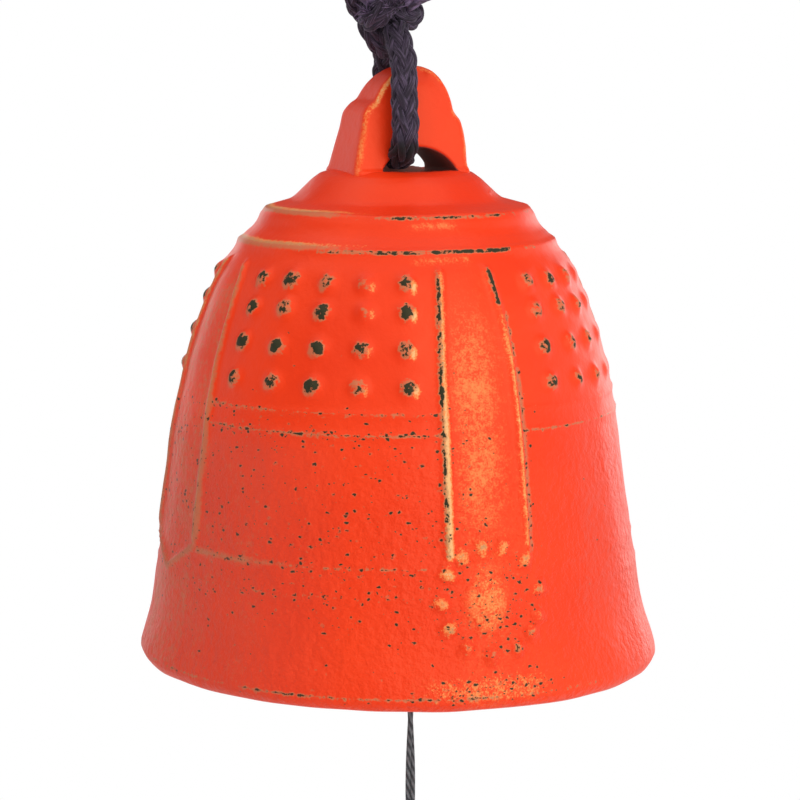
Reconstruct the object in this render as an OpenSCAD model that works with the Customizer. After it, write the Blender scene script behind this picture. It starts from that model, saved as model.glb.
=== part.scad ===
// Cast iron wind bell.
// A cast shell with a lug on its crown hangs from a knotted cord. Inside, a wire
// staple in the crown carries a string eye, the clapper disc and its stop knot.
// The string runs on below the mouth and holds a paper strip that catches wind.
// The cord hangs from the origin, which is the underside of its loop's top.

/* [Bell casting] */
// Diameter across the lip
lip_d = 67; // [62:0.5:74]
// Height from the lip up to the crown
bell_h = 62.8; // [59:0.2:68]
// Thickness of the flank
wall = 3; // [2.7:0.1:3.4]
// Thickness of the lip
lip_wall = 4.2; // [3.8:0.1:4.8]
// Thickness of the crown
crown_wall = 3.4; // [3.2:0.1:4.2]

/* [Lug and slot] */
// Width of the lug near its foot
lug_w = 15.2; // [14.6:0.1:16.4]
// Height of the lug above the crown
lug_h = 13.2; // [12.6:0.1:13.4]
// Thickness of the lug near its foot
lug_t = 10.5; // [9.8:0.1:11]
// Width of the cord slot where it meets the crown
slot_w = 10.4; // [9.8:0.1:11]
// Height of the cord slot above the crown
slot_h = 3.4; // [3.3:0.1:3.8]
// Radius that rounds the slot's mouths
slot_round = 0.8; // [0.5:0.1:1]

/* [Cast ornament] */
// Diameter of one boss at its foot
boss_d = 3; // [2.6:0.1:3.4]
// Height of a boss above the flank
boss_rise = 0.7; // [0.5:0.1:0.9]
// Rows of bosses in each panel
boss_rows = 4; // [2:1:4]
// Width of one rib of a band
rib_w = 1; // [0.7:0.1:1.3]
// Height of a rib above the flank
rib_rise = 0.5; // [0.3:0.1:0.7]
// Width of a panel line
line_w = 0.8; // [0.6:0.1:1]
// Height of a panel line above the flank
line_rise = 0.3; // [0.2:0.1:0.4]
// Diameter of the ring of lotus petals
lotus_d = 12; // [11:0.5:13]
// Diameter of one lotus petal
petal_d = 2.4; // [2:0.1:2.8]
// Diameter of the lotus heart
heart_d = 8; // [7:0.1:8.5]

/* [Hanging cord] */
// Diameter of the cord
cord_d = 3; // [2.8:0.1:3.1]
// Diameter of the cord's knot
knot_d = 11.2; // [10:0.2:12]

/* [Staple and eye] */
// Diameter of the staple's wire
wire_d = 1.6; // [1.4:0.1:1.8]
// Distance between the staple's legs
staple_w = 7; // [6.6:0.1:8]
// Drop of the staple's bar below the ceiling
staple_drop = 4.5; // [4:0.1:5]
// Depth of the staple's holes in the crown
staple_grip = 1.5; // [1.2:0.1:1.8]

/* [Clapper] */
// Diameter of the string
string_d = 1.2; // [1:0.1:1.4]
// Diameter of the clapper disc
clapper_d = 26; // [22:0.5:27]
// Thickness of the clapper disc
clapper_t = 2.4; // [2:0.1:3]
// Diameter of the hole in the disc
clapper_hole_d = 2; // [1.8:0.1:2.4]
// Diameter of the stop knot under the disc
stop_d = 3.2; // [2.9:0.1:3.6]

/* [Paper strip] */
// Width of the strip
strip_w = 36; // [30:1:40]
// Length of the strip
strip_h = 108; // [90:1:120]
// Thickness of the strip
strip_t = 0.4; // [0.3:0.05:0.6]
// Diameter of the hole in the strip
strip_hole_d = 4; // [3.6:0.1:4.4]
// Distance from the hole's centre to the strip's top edge
strip_hole_in = 5; // [4.5:0.1:6]

/* [Hidden] */
$fn = 48;
small_fn = 24;
cord_sides = 8;

// Running clearance between pieces that turn on each other
gap = 0.3;
// Overrun of cuts past a face
over = 1;

// Routes of the cord and the string, from end to end
loop_route = [[-2.5, 0, -27], [-3.6, 0, -24], [-5.4, 0, -19], [-6.4, 0, -13], [-6.2, 0, -7],
              [-4.6, 0, -2], [-2.3, 0, 0.7], [0, 0, 1.5], [2.3, 0, 0.7], [4.6, 0, -2],
              [6, 0, -7], [5.8, 0, -13], [4.4, 0, -19], [2.2, 0, -24], [0.7, 0, -27]];
sling_route = [[-0.9, -1.7, -37.4], [-1.1, -4.9, -41.4], [-1.6, -6.6, -46], [-1.8, -7.4, -49.5],
               [-1.9, -7.5, -52], [-1.7, -6.4, -53.5], [-1.3, -4.4, -53.9], [0, 0, -53.9],
               [1.3, 4.4, -53.9], [1.6, 6.4, -53.5], [1.5, 7.5, -52], [1, 7.2, -49],
               [0.8, 6.4, -46], [0.4, 4.8, -41.4], [-0.9, 1.7, -37.4]];
clapper_route = [[1.9, 0, -68.3], [1.9, 0, -76], [1.9, 0, -84], [1.9, 0, -92], [1.9, 0, -100],
                 [1.9, 0, -106]];
tail_route = [[1.9, 0, -119], [1.9, 0, -126], [1.9, 0, -133], [1.9, 0, -140]];
tie_route = [[1.9, -0.5, -142], [1.9, -1.3, -145], [1.9, -1.5, -147.6], [1.9, -1.1, -148.9],
             [1.9, 0, -149.4], [1.9, 1.1, -148.9], [1.9, 1.5, -147.6], [1.9, 1.3, -145],
             [1.9, 0.5, -142]];

// Where the cord turns in the loop's ends, and where it passes the slot
hinge_z = loop_route[0].z;
slot_axis_z = sling_route[7].z;
string_x = clapper_route[0].x;

// The slot leaves play round the cord
arch_gap = 0.6;
floor_gap = 0.7;
slot_axis_up = slot_h - arch_gap - cord_d / 2;
floor_drop = cord_d / 2 + floor_gap - slot_axis_up;
arch_r = (slot_w * slot_w / 4 + slot_h * slot_h) / (2 * slot_h);
crown_z = slot_axis_z - slot_axis_up;
lip_z = crown_z - bell_h;

// Shape of the shell: shares of the lip's radius and of the bell's height
lip_r = lip_d / 2;
lip_shares = [[0.961, 0], [0.985, 0.006], [1, 0.021], [0.9895, 0.041], [0.978, 0.062],
              [0.966, 0.083]];
flank_shares = [[0.955, 0.107], [0.878, 0.39], [0.866, 0.621], [0.657, 0.82]];
crown_shares = [[0.642, 0.833], [0.627, 0.842], [0.606, 0.858], [0.576, 0.874], [0.555, 0.884],
                [0.54, 0.8965], [0.525, 0.913], [0.504, 0.923], [0.466, 0.931], [0.409, 0.939],
                [0.388, 0.947], [0.358, 0.963], [0.325, 0.98], [0.293, 0.992], [0.239, 1], [0, 1]];
ceiling_share = 0.18;
vault_share = 0.364;
vault_sag = 0.8;
flank_steps = 14;
vault_steps = 8;

function on_bell(shares) = [for (s = shares) [s.x * lip_r, s.y * bell_h]];
function bezier(p, t) = pow(1 - t, 3) * p[0] + 3 * t * pow(1 - t, 2) * p[1]
    + 3 * t * t * (1 - t) * p[2] + pow(t, 3) * p[3];
function bezier_line(p, steps, first = 0) = [for (k = [first : steps]) bezier(p, k / steps)];
function backwards(list) = [for (i = [len(list) - 1 : -1 : 0]) list[i]];

flank_pull = on_bell(flank_shares);
flank_line = bezier_line(flank_pull, flank_steps);
flank_table = [for (p = concat(flank_line, on_bell(crown_shares))) [p.y, p.x]];
function flank_r(z) = lookup(z, flank_table);

// The inside follows the flank at the wall's thickness, then vaults to the ceiling
ceiling_z = bell_h - crown_wall;
inner_pull = [flank_pull[0] - [wall, 0], flank_pull[1] - [wall, 0], flank_pull[2] - wall * [1, 0.17],
              flank_pull[3] - wall * [0.87, 0.49]];
vault_pull = [inner_pull[3], inner_pull[3] + wall * [-0.66, 1.16],
              [lip_r * vault_share, ceiling_z - vault_sag], [lip_r * ceiling_share, ceiling_z]];
inner_line = concat(bezier_line(inner_pull, flank_steps), bezier_line(vault_pull, vault_steps, 1));
lip_in_r = lip_r - lip_wall;
lip_break = 0.5;

// Lug: shares of half its width or thickness, and of its height. As cast, it leans to the right
lug_right_shares = [[1.12, 0], [1.03, 0.03], [0.99, 0.08], [0.98, 0.23], [0.945, 0.375], [0.895, 0.475],
                    [0.81, 0.53]];
lug_left_shares = [[1.06, 0], [0.97, 0.03], [0.92, 0.08], [0.865, 0.2], [0.79, 0.42], [0.755, 0.51],
                   [0.64, 0.59]];
lug_face_shares = [[1.2, 0], [1.07, 0.03], [1, 0.08], [0.829, 0.56], [0.7, 0.8], [0.629, 0.9],
                   [0.52, 0.965], [0.36, 1], [0, 1]];
dome_share = 0.319;
dome_r = lug_w * dome_share;
dome_lean = 0.076;
dome_x = lug_w * dome_lean;
dome_round = 1;
lug_corner = 1.6;

// Cord groove across the crown under the slot
groove_flat = 0.51;
groove_ramp = 0.67;

// Bands stand at the four sides, and panels fill the space between them
band_count = 4;
band_step = 360 / band_count;
band_half = 9.75;
band_top_share = 0.835;
band_foot_share = 0.27;
rib_taper = 0.6;
rib_steps = 6;
seat = 0.6;
arch_tip_share = 0.212;

// Bosses: places in a panel, and the height of each row
boss_columns = 5;
boss_step_wide = 12.6;
boss_step_close = 11.2;
boss_row_shares = [0.796, 0.744, 0.675, 0.604];

// Lines across a panel
line_shares = [0.557, 0.517, 0.264, 0.209];

// Lotus on the front and back bands
lotus_share = 0.207;
petals = 12;
petal_rise = 0.55;
heart_rise = 0.8;

// Knot of the cord: shares of its radius, and of its height from foot to top
knot_top_gap = 0.4;
knot_top_z = hinge_z - knot_top_gap;
knot_foot_z = sling_route[0].z - 0.2 * cord_d;
knot_h = knot_top_z - knot_foot_z;
knot_x = sling_route[0].x;
knot_shares = [[0, 0], [0.5, 0], [0.57, 0.05], [0.65, 0.14], [0.75, 0.27], [0.9, 0.39], [0.98, 0.49],
               [1, 0.59], [0.98, 0.7], [0.9, 0.82], [0.76, 0.93], [0.6, 1], [0, 1]];
tail_length = 5;
tail_spread = 2.6;
tail_up = 3.6;
tail_out = 3.2;

// Staple, eye and knots
bar_z = lip_z + ceiling_z - staple_drop;
eye_r = wire_d / 2 + gap + string_d / 2;
eye_knot_d = 2.6;
eye_turn_z = clapper_route[0].z;
eye_knot_z = eye_turn_z + string_d / 2 + gap + eye_knot_d / 2;

// Clapper, on its string and above its stop knot
disc_z = -109.8;
disc_low = disc_z - clapper_t / 2;
rim_round = 0.8;
stop_sink = sqrt(stop_d * stop_d / 4 - clapper_hole_d * clapper_hole_d / 4);
stop_z = disc_low - stop_sink;
string_end_z = stop_z + stop_d / 2;
tail_z = stop_z - stop_d / 2 - gap - string_d / 2;

// Paper strip, hung on the string that passes its hole
tie_knot_d = 2.6;
tie_knot_z = tail_route[3].z - gap - tie_knot_d / 2;
strip_pin_z = tie_route[4].z;
strip_hole_z = strip_pin_z - (strip_hole_d / 2 - string_d / 2 - gap);
strip_top_z = strip_hole_z + strip_hole_in;

// Points between a route's own, on a smooth curve through them
function curve_point(a, b, c, d, t) = (2 * b + t * (c - a) + t * t * (2 * a - 5 * b + 4 * c - d)
    + t * t * t * (3 * b - a - 3 * c + d)) / 2;
function curved(route, steps) = [for (i = [0 : len(route) - 2]) for (k = [0 : steps - 1])
    curve_point(route[max(i - 1, 0)], route[i], route[i + 1],
                route[min(i + 2, len(route) - 1)], k / steps), route[len(route) - 1]];
function unit(v) = v / norm(v);
function heading(p, i) = unit(p[min(i + 1, len(p) - 1)] - p[max(i - 1, 0)]);

// Rings of a tube: centre, heading and radius, with round ends where wanted
function rings(p, r, dome_a, dome_b) = concat(
    dome_a ? [for (a = [66, 33]) [p[0] - heading(p, 0) * r * sin(a), heading(p, 0), r * cos(a)]] : [],
    [for (i = [0 : len(p) - 1]) [p[i], heading(p, i), r]],
    dome_b ? [for (a = [33, 66]) [p[len(p) - 1] + heading(p, len(p) - 1) * r * sin(a),
                                  heading(p, len(p) - 1), r * cos(a)]] : []);
function ring_points(ring, side) = let (u = unit(cross(side, ring[1])), v = cross(ring[1], u))
    [for (j = [0 : cord_sides - 1]) let (a = (j + 0.5) * 360 / cord_sides)
        ring[0] + ring[2] * (cos(a) * u + sin(a) * v)];

module tube(path, d, side, dome_a = false, dome_b = false) {
    all = rings(path, d / 2, dome_a, dome_b);
    last = len(all) - 1;
    n = cord_sides;
    points = [for (ring = all) each ring_points(ring, side)];
    faces = concat(
        [for (j = [1 : n - 2]) [0, j, j + 1]],
        [for (i = [0 : last - 1]) for (j = [0 : n - 1]) let (k = (j + 1) % n)
            [i * n + j, (i + 1) * n + j, (i + 1) * n + k]],
        [for (i = [0 : last - 1]) for (j = [0 : n - 1]) let (k = (j + 1) % n)
            [i * n + j, (i + 1) * n + k, i * n + k]],
        [for (j = [1 : n - 2]) [last * n, last * n + j + 1, last * n + j]]);
    polyhedron(points = points, faces = faces);
}

// The shell, turned about the bell's axis
module shell() {
    rotate_extrude($fn = 96)
        polygon(concat([[lip_in_r + lip_break, 0]], on_bell(lip_shares), flank_line,
                       on_bell(crown_shares), [[0, ceiling_z]], backwards(inner_line),
                       [[lip_in_r, lip_break]]));
}

// Places a piece on the flank, with its own Z pointing out of the iron
module on_flank(azimuth, z) {
    rotate([0, 0, azimuth])
        translate([0, -flank_r(z), z])
            rotate([90, 0, 0])
                children();
}

// One upright rib of a band, with its ends tapered into the flank
module rib(azimuth, foot, top) {
    width = rib_w / lip_r * 180 / PI;
    rotate([0, 0, azimuth - 90 - width / 2])
        rotate_extrude(angle = width)
            polygon(concat(
                [for (k = [0 : rib_steps]) let (z = foot + (top - foot) * k / rib_steps)
                    [flank_r(z) - seat, z]],
                [for (k = [rib_steps : -1 : 0])
                    let (z = foot + rib_taper + (top - foot - 2 * rib_taper) * k / rib_steps)
                    [flank_r(z) + rib_rise, z]]));
}

module band_ribs(azimuth) {
    for (side = [-1, 1])
        rib(azimuth + side * band_half, bell_h * band_foot_share, bell_h * band_top_share);
}

// The pointed foot of a side band
module band_arch(azimuth) {
    high = bell_h * band_foot_share;
    low = bell_h * arch_tip_share;
    half = flank_r(high) * band_half * PI / 180;
    length = norm([half, high - low]);
    slope = atan((high - low) / half);
    for (side = [-1, 1])
        on_flank(azimuth + side * band_half / 2, (high + low) / 2)
            rotate([0, 0, side * slope])
                translate([-length / 2, -rib_w / 2, -seat])
                    cube([length, rib_w, seat + rib_rise]);
}

// Lines that cross one panel from band to band
module panel_lines(azimuth) {
    reach = band_step - 2 * band_half;
    for (share = line_shares) {
        z = bell_h * share;
        rotate([0, 0, azimuth + band_half - 90])
            rotate_extrude(angle = reach)
                polygon([[flank_r(z) - seat, z - line_w / 2], [flank_r(z), z - line_w / 2],
                         [flank_r(z) + line_rise, z - line_w / 6],
                         [flank_r(z) + line_rise, z + line_w / 6], [flank_r(z), z + line_w / 2],
                         [flank_r(z) - seat, z + line_w / 2]]);
    }
}

// A round cap on the flank, from a ball whose rest is cut off inside the iron
module ball_cap(d, rise, sides) {
    r = (d * d / 4 + rise * rise) / (2 * rise);
    intersection() {
        translate([0, 0, rise - r])
            sphere(r = r, $fn = sides);
        translate([-r, -r, -seat])
            cube([2 * r, 2 * r, seat + rise + over]);
    }
}

// Bosses of one panel, in upright columns
module panel_bosses(azimuth, step) {
    middle = azimuth + band_step / 2;
    for (row = [0 : boss_rows - 1])
        for (column = [0 : boss_columns - 1])
            on_flank(middle + (column - (boss_columns - 1) / 2) * step, bell_h * boss_row_shares[row])
                ball_cap(boss_d, boss_rise, small_fn);
}

// Lotus seat: a ring of petals round a low heart
module lotus(azimuth) {
    middle = bell_h * lotus_share;
    for (k = [0 : petals - 1]) {
        across = lotus_d / 2 * cos(k * 360 / petals);
        up = lotus_d / 2 * sin(k * 360 / petals);
        on_flank(azimuth + across / flank_r(middle) * 180 / PI, middle + up)
            ball_cap(petal_d, petal_rise, small_fn);
    }
    on_flank(azimuth, middle)
        intersection() {
            ball_cap(heart_d, heart_rise, 96);
            translate([0, 0, -over])
                cylinder(d = heart_d, h = heart_rise + 2 * over);
        }
}

// Solid lug, cut from its front outline, its side outline and its plan
module lug_block() {
    half_w = lug_w / 2;
    half_t = lug_t / 2;
    right = [for (s = lug_right_shares) [s.x * half_w, s.y * lug_h]];
    left = [for (s = lug_left_shares) [-s.x * half_w, s.y * lug_h]];
    face = [for (s = lug_face_shares) [s.x * half_t, s.y * lug_h]];
    wide = right[0].x;
    deep = face[0].x;
    intersection() {
        union() {
            rotate([90, 0, 0])
                linear_extrude(height = 2 * deep + 2 * over, center = true)
                    polygon(concat([[wide, -over]], right, backwards(left), [[left[0].x, -over]]));
            translate([dome_x, 0, lug_h - dome_r])
                rotate([90, 0, 0])
                    rotate_extrude()
                        polygon([[0, -half_t], [dome_r - dome_round, -half_t],
                                 [dome_r - dome_round / 4, -half_t + dome_round * 0.7],
                                 [dome_r, -half_t + 1.9 * dome_round],
                                 [dome_r, half_t - 1.9 * dome_round],
                                 [dome_r - dome_round / 4, half_t - dome_round * 0.7],
                                 [dome_r - dome_round, half_t], [0, half_t]]);
        }
        rotate([90, 0, 90])
            linear_extrude(height = 2 * wide + 2 * over, center = true)
                polygon(concat([[deep, -over]], face, [for (i = [len(face) - 2 : -1 : 0])
                            [-face[i].x, face[i].y]], [[-deep, -over]]));
        translate([0, 0, -over])
            linear_extrude(height = lug_h + 3 * over)
                union() {
                    square([2 * wide - 2 * lug_corner, 2 * deep], center = true);
                    square([2 * wide, 2 * deep - 2 * lug_corner], center = true);
                    for (x = [-1, 1])
                        for (y = [-1, 1])
                            translate([x * (wide - lug_corner), y * (deep - lug_corner)])
                                circle(r = lug_corner, $fn = small_fn);
                }
    }
}

// Cutter of the cord slot: an arch with rounded mouths over a shallow groove
module slot_cut() {
    mouth = lug_t / 2 - slot_round / 2;
    reach = lug_t;
    flat = lug_t * groove_flat;
    ramp = lug_t * groove_ramp;
    rise = floor_drop / (ramp - flat);
    intersection() {
        translate([0, 0, slot_h - arch_r])
            rotate([90, 0, 0])
                rotate_extrude($fn = 96)
                    polygon(concat(
                        [[0, -reach], [arch_r + slot_round, -reach]],
                        [for (a = [90 : -18 : 0]) [arch_r + slot_round * (1 - cos(a)),
                                                   -mouth + slot_round - slot_round * sin(a)]],
                        [for (a = [0 : 18 : 90]) [arch_r + slot_round * (1 - cos(a)),
                                                  mouth - slot_round + slot_round * sin(a)]],
                        [[arch_r + slot_round, reach], [0, reach]]));
        rotate([90, 0, 90])
            linear_extrude(height = 2 * lug_w, center = true)
                polygon([[-flat, -floor_drop], [flat, -floor_drop],
                         [reach, -floor_drop + rise * (reach - flat)], [reach, lug_h],
                         [-reach, lug_h], [-reach, -floor_drop + rise * (reach - flat)]]);
    }
}

module bell_casting() {
    color("orangered")
        translate([0, 0, lip_z])
            difference() {
                union() {
                    shell();
                    translate([0, 0, bell_h])
                        lug_block();
                    for (k = [0 : band_count - 1]) {
                        band_ribs(k * band_step);
                        panel_lines(k * band_step);
                        panel_bosses(k * band_step, k % 2 == 0 ? boss_step_close : boss_step_wide);
                    }
                    for (k = [0, 2])
                        lotus(k * band_step);
                    for (k = [1, 3])
                        band_arch(k * band_step);
                }
                translate([0, 0, bell_h])
                    slot_cut();
                for (x = [-1, 1])
                    translate([x * staple_w / 2, 0, ceiling_z - over])
                        cylinder(d = wire_d, h = over + staple_grip, $fn = small_fn);
            }
}

// Wire staple pressed into the crown
module eye_staple() {
    color("dimgray")
        translate([0, 0, bar_z]) {
            rotate([0, 90, 0])
                cylinder(d = wire_d, h = staple_w, center = true, $fn = small_fn);
            for (x = [-1, 1])
                translate([x * staple_w / 2, 0, 0]) {
                    sphere(d = wire_d, $fn = small_fn);
                    cylinder(d = wire_d, h = staple_drop + staple_grip, $fn = small_fn);
                }
        }
}

// Loop of cord that goes over a hook
module hang_loop() {
    color("indigo")
        tube(loop_route, cord_d, [0, 1, 0], true, true);
}

// One frayed end of the cord, standing out of the knot
module knot_tail(side) {
    lean = atan2(tail_out, tail_up);
    translate([side * tail_spread, -tail_spread, 0])
        rotate([lean / 3, side * lean, 0]) {
            cylinder(d = cord_d, h = tail_length, $fn = small_fn);
            translate([0, 0, tail_length])
                sphere(d = cord_d, $fn = small_fn);
        }
}

// Knot that joins the loop and the sling, with the hinge trough in its top
module hang_knot() {
    color("indigo")
        difference() {
            translate([knot_x, 0, knot_foot_z]) {
                rotate_extrude()
                    polygon([for (s = knot_shares) [s.x * knot_d / 2, s.y * knot_h]]);
                for (side = [-1, 1])
                    translate([0, 0, knot_h / 3])
                        knot_tail(side);
            }
            translate([0, 0, hinge_z])
                rotate([0, 90, 0])
                    cylinder(r = cord_d / 2 + gap, h = 2 * knot_d, center = true);
        }
}

// Cord that runs from the knot through the slot and back
module sling_cord() {
    color("purple")
        tube(curved(sling_route, 2), cord_d, [1, 0, 0]);
}

// Eye of string round the staple's bar, closed by a knot
module eye_loop() {
    color("slategray") {
        translate([string_x, 0, bar_z])
            rotate([0, 90, 0])
                rotate_extrude($fn = small_fn)
                    translate([eye_r, 0])
                        circle(d = string_d, $fn = small_fn);
        translate([string_x, 0, eye_knot_z])
            sphere(d = eye_knot_d, $fn = small_fn);
        translate([string_x, 0, eye_knot_z])
            cylinder(d = string_d, h = bar_z - eye_r - eye_knot_z, $fn = small_fn);
    }
}

module clapper_cord() {
    color("slategray")
        tube(concat(clapper_route, [[string_x, 0, string_end_z]]), string_d, [1, 0, 0], true);
}

// Flat iron disc that strikes the bell
module clapper_disc() {
    r = clapper_d / 2;
    h = clapper_t / 2;
    color("gray")
        translate([string_x, 0, disc_z])
            rotate_extrude($fn = 96)
                polygon(concat([[clapper_hole_d / 2, -h]],
                               [for (a = [-90 : 22.5 : 0]) [r - rim_round * (1 - cos(a)),
                                                            -h + rim_round * (1 + sin(a))]],
                               [for (a = [0 : 22.5 : 90]) [r - rim_round * (1 - cos(a)),
                                                           h - rim_round * (1 - sin(a))]],
                               [[clapper_hole_d / 2, h]]));
}

module stop_knot() {
    color("slategray")
        translate([string_x, 0, stop_z])
            sphere(d = stop_d, $fn = small_fn);
}

module tail_string() {
    color("slategray")
        tube(concat([[string_x, 0, tail_z]], tail_route), string_d, [1, 0, 0], true);
}

// Knot and loop of string that hold the strip
module tie_loop() {
    color("slategray") {
        translate([string_x, 0, tie_knot_z])
            sphere(d = tie_knot_d, $fn = small_fn);
        tube(tie_route, string_d, [1, 0, 0]);
    }
}

module paper_strip() {
    color("ivory")
        difference() {
            translate([string_x - strip_w / 2, -strip_t / 2, strip_top_z - strip_h])
                cube([strip_w, strip_t, strip_h]);
            translate([string_x, 0, strip_hole_z])
                rotate([90, 0, 0])
                    cylinder(d = strip_hole_d, h = strip_t + 2 * over, center = true);
        }
}

hang_loop();
hang_knot();
sling_cord();
bell_casting();
eye_staple();
eye_loop();
clapper_cord();
clapper_disc();
stop_knot();
tail_string();
tie_loop();
paper_strip();
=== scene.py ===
"""Cast iron wind bell: painted iron with bosses, bands and a lotus seat, hung by a braided cord.

Sizes are in millimetres where they are written, and become metres when a mesh is made. Those of the
looks, the blend and the studio are in metres. The origin is the underside of the hanging loop's top,
with +Z up and the front band towards -Y."""

import math

import bpy
import numpy as np
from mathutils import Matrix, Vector


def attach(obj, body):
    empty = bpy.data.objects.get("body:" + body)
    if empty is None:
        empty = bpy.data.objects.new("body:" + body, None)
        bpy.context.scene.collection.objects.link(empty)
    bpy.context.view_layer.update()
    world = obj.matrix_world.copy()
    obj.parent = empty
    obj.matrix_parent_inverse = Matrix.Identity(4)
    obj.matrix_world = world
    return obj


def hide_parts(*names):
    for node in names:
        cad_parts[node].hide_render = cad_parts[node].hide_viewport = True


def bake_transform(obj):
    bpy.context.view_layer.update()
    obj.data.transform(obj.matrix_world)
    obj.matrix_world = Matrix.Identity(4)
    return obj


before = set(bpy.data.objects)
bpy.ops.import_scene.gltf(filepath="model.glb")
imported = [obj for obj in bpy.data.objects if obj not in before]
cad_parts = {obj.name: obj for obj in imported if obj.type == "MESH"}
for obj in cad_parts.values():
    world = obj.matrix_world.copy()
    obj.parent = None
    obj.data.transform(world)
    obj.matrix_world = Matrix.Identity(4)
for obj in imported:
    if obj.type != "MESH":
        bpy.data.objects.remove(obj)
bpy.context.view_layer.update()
scene = bpy.context.scene

# Camera
# The bell is photographed from a little above its lip, turned so that the
# front band stands right of the middle. The lens is long, so the perspective is slight.
MM = 0.001
VIEW_TURN, VIEW_TILT, VIEW_AWAY = -21.75, 8.147, 370.0
AIM_HEIGHT, AIM_RIGHT = -85.14, 0.39
FOCAL_PIXELS, PICTURE_PIXELS, SENSOR = 2853.0, 800.0, 36.0

turn, tilt = math.radians(VIEW_TURN), math.radians(VIEW_TILT)
aim = Vector((AIM_RIGHT * math.cos(turn), AIM_RIGHT * math.sin(turn), AIM_HEIGHT)) * MM
away = Vector((math.sin(turn) * math.cos(tilt), -math.cos(turn) * math.cos(tilt), math.sin(tilt)))
lens = bpy.data.cameras.new("camera")
lens.sensor_width = SENSOR
lens.lens = SENSOR * FOCAL_PIXELS / PICTURE_PIXELS
lens.clip_start, lens.clip_end = 0.01, 20
camera = bpy.data.objects.new("camera", lens)
camera.location = aim + away * VIEW_AWAY * MM
camera.rotation_mode = "QUATERNION"
camera.rotation_quaternion = (-away).to_track_quat("-Z", "Y")
scene.collection.objects.link(camera)
scene.camera = camera

# Braided cord: sling
# A black-violet cotton cord of 3 mm, plaited from sixteen strands. It leaves the knot,
# passes down the lug's face, through the slot and up the back to the knot again.
CORD, LEG_THICK = 3.0, 1.08
STRANDS, LAY_LENGTH, CHEVRON_TURN = 16, 22.0, 101.75
PLAIT_R, PLAIT_LIFT, PLAIT_WAVE, PLAIT_STEP = 0.34, 0.085, 0.03, 0.28
STRAND_WIDE, STRAND_THICK, STRAND_PUFF = 0.152, 0.13, 0.05
SLING_ROUTE = [(-0.9, -1.7, -37.4), (-1.1, -4.9, -41.4), (-1.6, -6.6, -46), (-1.8, -7.4, -49.5),
               (-1.9, -7.4, -51.6), (-1.8, -6.3, -52.8), (-1.3, -4.4, -53.5), (0, 0, -53.75),
               (1.4, 4.4, -53.6), (1.7, 6.3, -53.0), (1.5, 7.4, -51.8), (1, 7.2, -49),
               (0.8, 6.4, -46), (0.4, 4.8, -41.4), (-0.9, 1.7, -37.4)]
SLING_FLAT = ((0, 0.35, 0.41, 0.59, 0.65, 1), (1, 1, 0.78, 0.78, 1, 1))


def run_of(points):
    """Each point's distance from the first, along the line."""
    return np.concatenate([[0], np.cumsum(np.linalg.norm(np.diff(points, axis=0), axis=1))])


def unit(v):
    """Each row of v made one long."""
    return v / np.linalg.norm(v, axis=1)[:, None]


def smooth_route(route, spacing):
    """Points on the curve that runs through all of route's own, each span a cubic whose slope at a
    point is half the step between its neighbours, then spread evenly along its length. Returns the
    points and their distances from the start."""
    p = np.array(route, float)
    a, b, c, d = np.vstack([p[:1], p[:-2]]), p[:-1], p[1:], np.vstack([p[2:], p[-1:]])
    t = np.linspace(0, 1, 24, endpoint=False)[:, None, None]
    q = (2 * b + t * (c - a) + t ** 2 * (2 * a - 5 * b + 4 * c - d) + t ** 3 * (3 * b - a - 3 * c + d)) / 2
    q = np.vstack([q.transpose(1, 0, 2).reshape(-1, 3), p[-1:]])
    run = run_of(q)
    s = np.linspace(0, run[-1], max(2, round(run[-1] / spacing) + 1))
    return np.column_stack([np.interp(s, run, q[:, k]) for k in range(3)]), s


def side_vectors(path, first_side):
    """Heading, side and up at each point. The side starts along first_side and is carried along the
    path without twist: at each step it loses its part along the new heading."""
    head = unit(np.gradient(path, axis=0))
    side = np.empty_like(head)
    s = np.array(first_side, float)
    for k, h in enumerate(head):
        s = s - h * (s @ h)
        s /= np.linalg.norm(s)
        side[k] = s
    return head, side, np.cross(head, side)


def tube_grid(path, wide, thick, side, up, around):
    """Oval tube: at each point of path, a ring at angle w stands at wide times cos w along side plus
    thick times sin w along up. Returns points as a grid of path by ring."""
    w = np.linspace(0, 2 * np.pi, around, endpoint=False)
    wide, thick = np.broadcast_to(wide, len(path)), np.broadcast_to(thick, len(path))
    return (path[:, None] + (wide[:, None] * np.cos(w))[..., None] * side[:, None]
            + (thick[:, None] * np.sin(w))[..., None] * up[:, None])


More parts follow.
